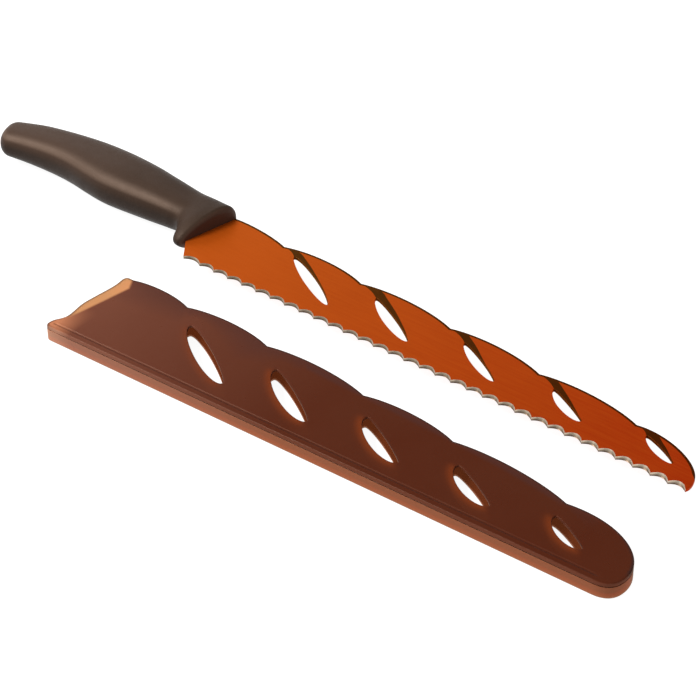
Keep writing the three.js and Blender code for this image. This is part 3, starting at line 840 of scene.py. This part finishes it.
class Nodes:
    """Short names for building one material's nodes."""

    def __init__(self, name):
        self.material = bpy.data.materials.new(name)
        self.material.use_nodes = True
        self.tree = self.material.node_tree
        self.tree.nodes.clear()
        self.output = self.add("ShaderNodeOutputMaterial")
        self.position = self.add("ShaderNodeTexCoord").outputs["Object"]

    def add(self, kind, inputs=(), **settings):
        node = self.tree.nodes.new(kind)
        for key, value in settings.items():
            setattr(node, key, value)
        for key, value in dict(inputs).items():
            self.put(value, node.inputs[key])
        return node

    def put(self, value, socket):
        """Links a node's output, or sets a number, a vector or, from a tuple, a colour."""
        if isinstance(value, bpy.types.NodeSocket):
            self.tree.links.new(value, socket)
        else:
            socket.default_value = (*value, 1.0) if isinstance(value, tuple) else value

    def attribute(self, name):
        return self.add("ShaderNodeAttribute", attribute_name=name).outputs["Fac"]

    def stretched(self, scale):
        inputs = {"Vector": self.position, "Scale": Vector(scale)}
        return self.add("ShaderNodeMapping", inputs).outputs["Vector"]

    def noise(self, scale, detail=3.0, rough=0.55, vector=None):
        inputs = {"Vector": vector or self.position, "Scale": scale, "Detail": detail,
                  "Roughness": rough}
        return self.add("ShaderNodeTexNoise", inputs).outputs["Fac"]

    def spread(self, value, low_in, high_in, low_out=0.0, high_out=1.0):
        inputs = {"Value": value, "From Min": low_in, "From Max": high_in,
                  "To Min": low_out, "To Max": high_out}
        return self.add("ShaderNodeMapRange", inputs).outputs["Result"]

    def uneven(self, low, high, scale, detail=5.0, rough=0.7):
        """A value that varies over the surface between low and high."""
        return self.spread(self.noise(scale, detail, rough), *NOISE_RANGE, low, high)

    def math(self, operation, a, b=0.0):
        return self.add("ShaderNodeMath", {0: a, 1: b}, operation=operation).outputs[0]

    def times(self, a, b):
        return self.math("MULTIPLY", a, b)

    def most(self, a, b):
        return self.math("MAXIMUM", a, b)

    def mix(self, share, a, b):
        return self.add("ShaderNodeMix", {0: share, 6: a, 7: b}, data_type="RGBA").outputs[2]

    def patches(self, base, other, share, scale, detail, low=NOISE_RANGE[0], high=NOISE_RANGE[1]):
        """The base colour with patches of the other, at most its share."""
        return self.mix(self.spread(self.noise(scale, detail), low, high, 0.0, share), base, other)

    def bump(self, height, strength, distance, normal=None):
        inputs = {"Strength": strength, "Distance": distance, "Height": height}
        if normal is not None:
            inputs["Normal"] = normal
        return self.add("ShaderNodeBump", inputs).outputs["Normal"]

    def principled(self, **values):
        inputs = {key.replace("_", " "): value for key, value in values.items()}
        return self.add("ShaderNodeBsdfPrincipled", inputs).outputs[0]

    def mixed(self, share, a, b):
        return self.add("ShaderNodeMixShader", {0: share, 1: a, 2: b}).outputs[0]

    def part(self, number):
        """The x, y or z of the place on the object, in metres."""
        return self.add("ShaderNodeSeparateXYZ", {0: self.position}).outputs[number]

    def along_blade(self):
        """From 0 at the heel to 1 at the point."""
        return self.spread(self.part(0), knife_origin.x * MM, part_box("blade")[1].x)

    def along_guard(self, x_share, y_share):
        """x_share of the place along the guard plus y_share of the place across, in metres."""
        direction = x_share * slide_axis + y_share * Vector((-slide_axis.y, slide_axis.x, 0.0))
        inputs = {0: self.position, 1: direction}
        node = self.add("ShaderNodeVectorMath", inputs, operation="DOT_PRODUCT")
        return self.math("SUBTRACT", node.outputs["Value"], guard_origin.dot(direction) * MM)

    def outward(self):
        """The x, y and z of the direction out of the body, the same seen from inside it."""
        geometry = self.add("ShaderNodeNewGeometry")
        backfacing = self.times(geometry.outputs["Backfacing"], 2.0)
        sign = self.math("SUBTRACT", 1.0, backfacing)
        node = self.add("ShaderNodeSeparateXYZ", {0: geometry.outputs["Normal"]})
        return [self.times(sign, node.outputs[i]) for i in range(3)]

    def finish(self, surface, volume=None):
        self.put(surface, self.output.inputs["Surface"])
        if volume is not None:
            self.put(volume, self.output.inputs["Volume"])
        return self.material

    def solid(self, base, rough, normal, **values):
        """The material of a body that lets no light through."""
        surface = self.principled(Base_Color=base, Roughness=rough, Normal=normal, **values)
        return self.finish(surface)


def colour(red, green, blue):
    """A colour given as it looks on a screen, 0 to 255."""
    def one(v):
        v /= 255
        return v / 12.92 if v <= 0.04045 else ((v + 0.055) / 1.055) ** 2.4
    return (one(red), one(green), one(blue))


def coat_material():
    n = Nodes("orange_coating")
    base = n.mix(n.along_blade(), colour(183, 80, 16), colour(165, 44, 0))
    base = n.patches(base, colour(160, 62, 6), 0.20, 38, 4)
    brushed = n.noise(900, 2, 0.6, n.stretched((0.06, 1.0, 1.0)))
    base = n.mix(n.spread(brushed, 0.35, 0.65, 0.0, 0.12), base, colour(206, 96, 24))
    base = n.patches(base, colour(112, 38, 2), 0.25, 5200, 1, 0.66, 0.74)
    rough = n.uneven(0.36, 0.46, 160)
    normal = n.bump(n.noise(2600, 3), 0.10, 0.00004)
    normal = n.bump(brushed, 0.06, 0.00004, normal)
    return n.solid(base, rough, normal, Metallic=0.55, Specular_IOR_Level=0.1,
                   Specular_Tint=(1.0, 0.55, 0.25))


def print_material():
    n = Nodes("dark_print")
    base = n.mix(n.along_blade(), colour(92, 56, 24), colour(80, 30, 4))
    base = n.patches(base, colour(58, 30, 10), 0.35, 420, 4)
    base = n.patches(base, colour(120, 68, 26), 0.25, 4200, 1, 0.62, 0.72)
    rough = n.uneven(0.40, 0.55, 240)
    normal = n.bump(n.noise(2600, 3), 0.12, 0.00004)
    return n.solid(base, rough, normal, Metallic=0.9, Specular_IOR_Level=0.1,
                   Specular_Tint=(1.0, 0.6, 0.3))


def steel_material():
    n = Nodes("ground_steel")
    lines = n.noise(4200, 2, 0.6, n.stretched((1.0, 0.05, 0.3)))
    # painted highlight and shade: the ground faces are lighter towards the top and towards the
    # point, and darker towards the edge
    highlit_steel = n.mix(n.spread(lines, *NOISE_RANGE), colour(158, 144, 122), colour(196, 182, 160))
    highlit_steel = n.mix(n.along_blade(), highlit_steel, colour(214, 198, 176))
    shaded_steel = n.mix(n.spread(lines, *NOISE_RANGE), colour(88, 72, 58), colour(122, 102, 84))
    bottom, top = (knife_origin.z - BLADE_HALF) * MM, (knife_origin.z + BLADE_HALF) * MM
    base = n.mix(n.spread(n.part(2), bottom, top, -0.3, 1.25), shaded_steel, highlit_steel)
    base = n.patches(base, colour(112, 98, 80), 0.4, 900, 4, 0.55, 0.75)
    rough = n.uneven(0.34, 0.48, 1500, 3, 0.55)
    normal = n.bump(lines, 0.25, 0.00003)
    return n.solid(base, rough, normal, Metallic=0.9)


def grip_material():
    n = Nodes("matte_grip")
    low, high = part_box("handle_grip")
    length = high.x - low.x
    # painted light: the grip is lighter at the butt and darker towards the front, where less light
    # falls
    base = n.mix(n.spread(n.part(0), low.x, high.x), colour(66, 50, 41), colour(42, 30, 22))
    base = n.patches(base, colour(70, 53, 43), 0.3, 60, 4)
    x, y, z = n.outward()
    # painted shade: darker on the underside, less so on the face towards the blade
    under = n.times(n.spread(z, 0.66, 0.05, 0.0, 0.9), n.spread(x, 0.3, 0.7, 1.0, 0.0))
    base = n.mix(under, base, colour(24, 15, 11))
    # painted light: the face towards the blade is lighter
    base = n.mix(n.spread(x, 0.4, 0.8, 0.0, 0.8), base, colour(72, 49, 39))
    # painted highlight along the band where the side turns into the top, on the side towards -y,
    # left off near the front
    painted_highlight = n.times(n.spread(z, 0.50, 0.66, 0.0, 0.45), n.spread(z, 0.80, 0.94, 1.0, 0.0))
    painted_highlight = n.times(painted_highlight, n.spread(y, -0.15, -0.45))
    rear = n.spread(n.part(0), high.x - 0.22 * length, high.x - 0.12 * length, 1.0, 0.0)
    base = n.mix(n.times(painted_highlight, rear), base, colour(98, 80, 68))
    base = n.patches(base, colour(74, 60, 51), 0.35, 3400, 2, 0.56, 0.72)
    base = n.patches(base, colour(34, 25, 20), 0.35, 2600, 2, 0.60, 0.74)
    rough = n.uneven(0.39, 0.49, 300)
    normal = n.bump(n.noise(2300, 4, 0.6), 0.6, 0.00012)
    normal = n.bump(n.noise(90, 2), 0.10, 0.0006, normal)
    return n.solid(base, rough, normal, Specular_IOR_Level=0.15, Specular_Tint=(1.0, 0.74, 0.58))


def core_material():
    n = Nodes("moulded_core")
    base = n.patches(colour(38, 34, 31), colour(52, 46, 42), 1.0, 80, 4)
    base = n.patches(base, colour(84, 76, 70), 0.3, 2400, 1, 0.62, 0.72)
    rough = n.uneven(0.48, 0.62, 260, 4, 0.55)
    return n.solid(base, rough, n.bump(n.noise(1800, 3), 0.2, 0.00008))


def guard_material(name, near, far, edge_near, edge_far, lip, solid, lip_solid, glow):
    """See-through plastic.  Light goes straight on, dimmed by the thickness it crosses, and the
    share solid of each surface scatters it; beside the mouth, where light comes in at the side, the
    colour lip, a painted light, and the share lip_solid.  near and far are the flat side's colours
    at the mouth and the far end, edge_near and edge_far the walls', painted lighter for the light
    that shines through them, and glow the most orange of the painted glow beside a window."""
    n = Nodes(name)
    low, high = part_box("guard_lower_shell")
    along = n.spread(n.part(0), low.x, low.x + FAR_FROM * (high.x - low.x))
    base = n.mix(along, near, far)
    base = n.patches(base, colour(84, 42, 26), 0.3, 26, 3)
    # painted light: a glow in the corner beside the edge at the mouth
    corner = n.times(n.spread(n.along_guard(1.0, 0.0), *CORNER_GLOW_ALONG, 1.0, 0.0),
                    n.spread(n.along_guard(0.0, 1.0), *CORNER_GLOW_ACROSS, 1.0, 0.0))
    base = n.mix(corner, base, colour(188, 120, 84))
    # painted light: beside the mouth, up to the slanting line, the brighter colour lip
    turn = n.most(n.math("SUBTRACT", n.along_guard(0.0, 1.0), LIP_TURN[0]), 0.0)
    line = n.math("ADD", n.along_guard(1.0, -LIP_SLANT), n.times(turn, LIP_TURN[1]))
    lip_light = n.spread(line, *LIP_BORDER, 1.0, 0.0)
    lip_light = n.times(lip_light, n.spread(n.along_guard(0.0, 1.0), *LIP_FADE))
    base = n.mix(lip_light, base, lip)
    flange = n.times(n.attribute("flange"), n.math("SUBTRACT", 1.0, lip_light))
    base = n.mix(n.spread(flange, 0.0, 1.0, 0.0, 0.65), base, colour(68, 38, 34))
    # painted light: an orange glow beside the windows, growing towards the far end
    painted_window_glow = n.times(n.attribute("painted_window_glow"), n.spread(along, 0.2, 0.9, 0.15, glow))
    base = n.mix(painted_window_glow, base, colour(112, 47, 15))
    # the walls, painted lighter for the light that shines through them, and painted shade on the
    # faces turned away from the light and along the dark outline
    x, y, z = n.outward()
    flatness = n.math("ABSOLUTE", z)
    wall = n.spread(flatness, 0.45, 0.85, 1.0, 0.0)
    away = n.times(n.spread(x, -0.2, -0.5), n.spread(flatness, 0.05, 0.3))
    away = n.most(away, n.spread(y, 0.1, 0.5))
    away = n.times(away, n.spread(lip_light, 0.0, 1.0, 1.0, 0.85))
    away = n.most(away, n.spread(n.attribute("outline"), 0.0, 1.0, 0.0, 0.8))
    lit_wall_colour = n.mix(corner, n.mix(along, edge_near, edge_far), colour(188, 138, 112))
    base = n.mix(wall, base, lit_wall_colour)
    base = n.mix(away, base, colour(46, 30, 29))
    base = n.patches(base, colour(150, 96, 72), 0.04, 1800, 2, 0.62, 0.75)
    rough = n.uneven(0.26, 0.38, 120)
    normal = n.bump(n.noise(140, 2, 0.5, n.stretched((0.25, 1.0, 1.0))), 0.10, 0.0004)
    plastic = n.principled(Base_Color=base, Roughness=rough, Normal=normal, Specular_IOR_Level=0.0)
    # how much of the light the surface scatters, and how much it mirrors
    clear = n.add("ShaderNodeBsdfTransparent").outputs[0]
    share = n.spread(lip_light, 0.0, 1.0, solid, lip_solid)
    share = n.math("ADD", share, n.uneven(-0.03, 0.03, 34, 3, 0.55))
    share = n.most(share, n.spread(wall, 0.0, 1.0, 0.0, 0.7))
    share = n.most(share, n.spread(flange, 0.0, 1.0, 0.0, 0.8))
    share = n.most(share, n.spread(away, 0.0, 1.0, 0.0, 0.92))
    body = n.mixed(share, clear, plastic)
    shine = n.add("ShaderNodeBsdfGlossy",
                  {"Color": (1.0, 0.72, 0.55), "Roughness": rough, "Normal": normal})
    fresnel = n.add("ShaderNodeFresnel", {"IOR": GUARD_IOR, "Normal": normal})
    front = n.math("SUBTRACT", 1.0, n.add("ShaderNodeNewGeometry").outputs["Backfacing"])
    gloss = n.times(fresnel.outputs[0], n.times(front, GUARD_GLOSS))
    surface = n.mixed(gloss, body, shine.outputs[0])
    volume = n.add("ShaderNodeVolumeAbsorption",
                   {"Color": PLASTIC_TINT, "Density": PLASTIC_DENSITY})
    return n.finish(surface, volume.outputs[0])


def floor_material():
    """A pale table.  Most of its light comes from itself, so that shadows stay faint."""
    n = Nodes("pale_floor")
    base = n.patches(colour(134, 134, 133), colour(138, 138, 137), 1.0, 3, 4)
    rough = n.uneven(0.7, 0.8, 8, 3, 0.55)
    return n.finish(n.principled(Base_Color=base, Roughness=rough, Specular_IOR_Level=0.0,
                                 Emission_Color=(1.0, 1.0, 1.0), Emission_Strength=FLOOR_GLOW))


# -------- pieces

blade = make_blade()
for material in (coat_material(), print_material(), steel_material()):
    blade.data.materials.append(material)
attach(blade, "knife")
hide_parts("blade")

grip = make_grip()
grip.data.materials.append(grip_material())
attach(grip, "knife")
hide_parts("handle_grip")

core = frame["nodes"]["handle_core"]
core.data.materials.clear()
core.data.materials.append(core_material())

# the colours lip, edge_near, edge_far and glow carry painted light
lower_shell = make_shell("guard_lower", LOWER_LIP, (LOWER_WINDOW_GROW, LOWER_WINDOW_REACH),
                         side=-1, total=GUARD_HALF + SEAM - SEAM_GAP / 2)
lower_shell.data.materials.append(guard_material(
    "guard_lower_plastic", near=colour(84, 42, 22), far=colour(70, 30, 10),
    edge_near=colour(160, 108, 88), edge_far=colour(150, 88, 60),
    lip=colour(120, 72, 48), solid=0.64, lip_solid=0.65, glow=0.15))
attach(lower_shell, "guard")
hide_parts("guard_lower_shell")

upper_shell = make_shell("guard_upper", UPPER_LIP, (),
                         side=1, total=GUARD_HALF - SEAM - SEAM_GAP / 2)
upper_shell.data.materials.append(guard_material(
    "guard_upper_plastic", near=colour(102, 57, 42), far=colour(73, 27, 10),
    edge_near=colour(122, 76, 60), edge_far=colour(96, 50, 34),
    lip=colour(200, 149, 100), solid=0.90, lip_solid=0.60, glow=0.85))
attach(upper_shell, "guard")
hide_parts("guard_upper_shell")

# -------- floor and light

floor_data = bpy.data.meshes.new("floor")
half = FLOOR_SIZE / 2
corners = [(-half, -half, 0), (half, -half, 0), (half, half, 0), (-half, half, 0)]
floor_data.from_pydata(corners, [], [(0, 1, 2, 3)])
floor_data.materials.append(floor_material())
floor = placed("floor", floor_data)
floor.location.z = cad_box[0].z - FLOOR_GAP

world = bpy.data.worlds.new("studio")
scene.world = world
world.use_nodes = True
background = world.node_tree.nodes["Background"]
background.inputs["Color"].default_value = (1.0, 1.0, 1.0, 1.0)
background.inputs["Strength"].default_value = WORLD_LIGHT


def softbox(name, direction, distance, width, height, watts):
    data = bpy.data.lights.new(name, "AREA")
    data.shape = "RECTANGLE"
    data.size, data.size_y = width, height
    data.energy = watts
    lamp = placed(name, data)
    way = Vector(direction).normalized()
    lamp.location = way * distance
    lamp.rotation_mode = "QUATERNION"
    lamp.rotation_quaternion = way.to_track_quat("Z", "Y")


softbox("key", (-0.50, -0.43, 0.74), distance=1.2, width=0.66, height=0.34, watts=18.0)
softbox("side", (-0.765, 0.441, 0.469), distance=1.5, width=0.7, height=0.5, watts=1.2)

scene.view_settings.view_transform = "Standard"
scene.view_settings.look = "None"
scene.view_settings.exposure = 0.0

# -------- the end

bpy.context.view_layer.update()
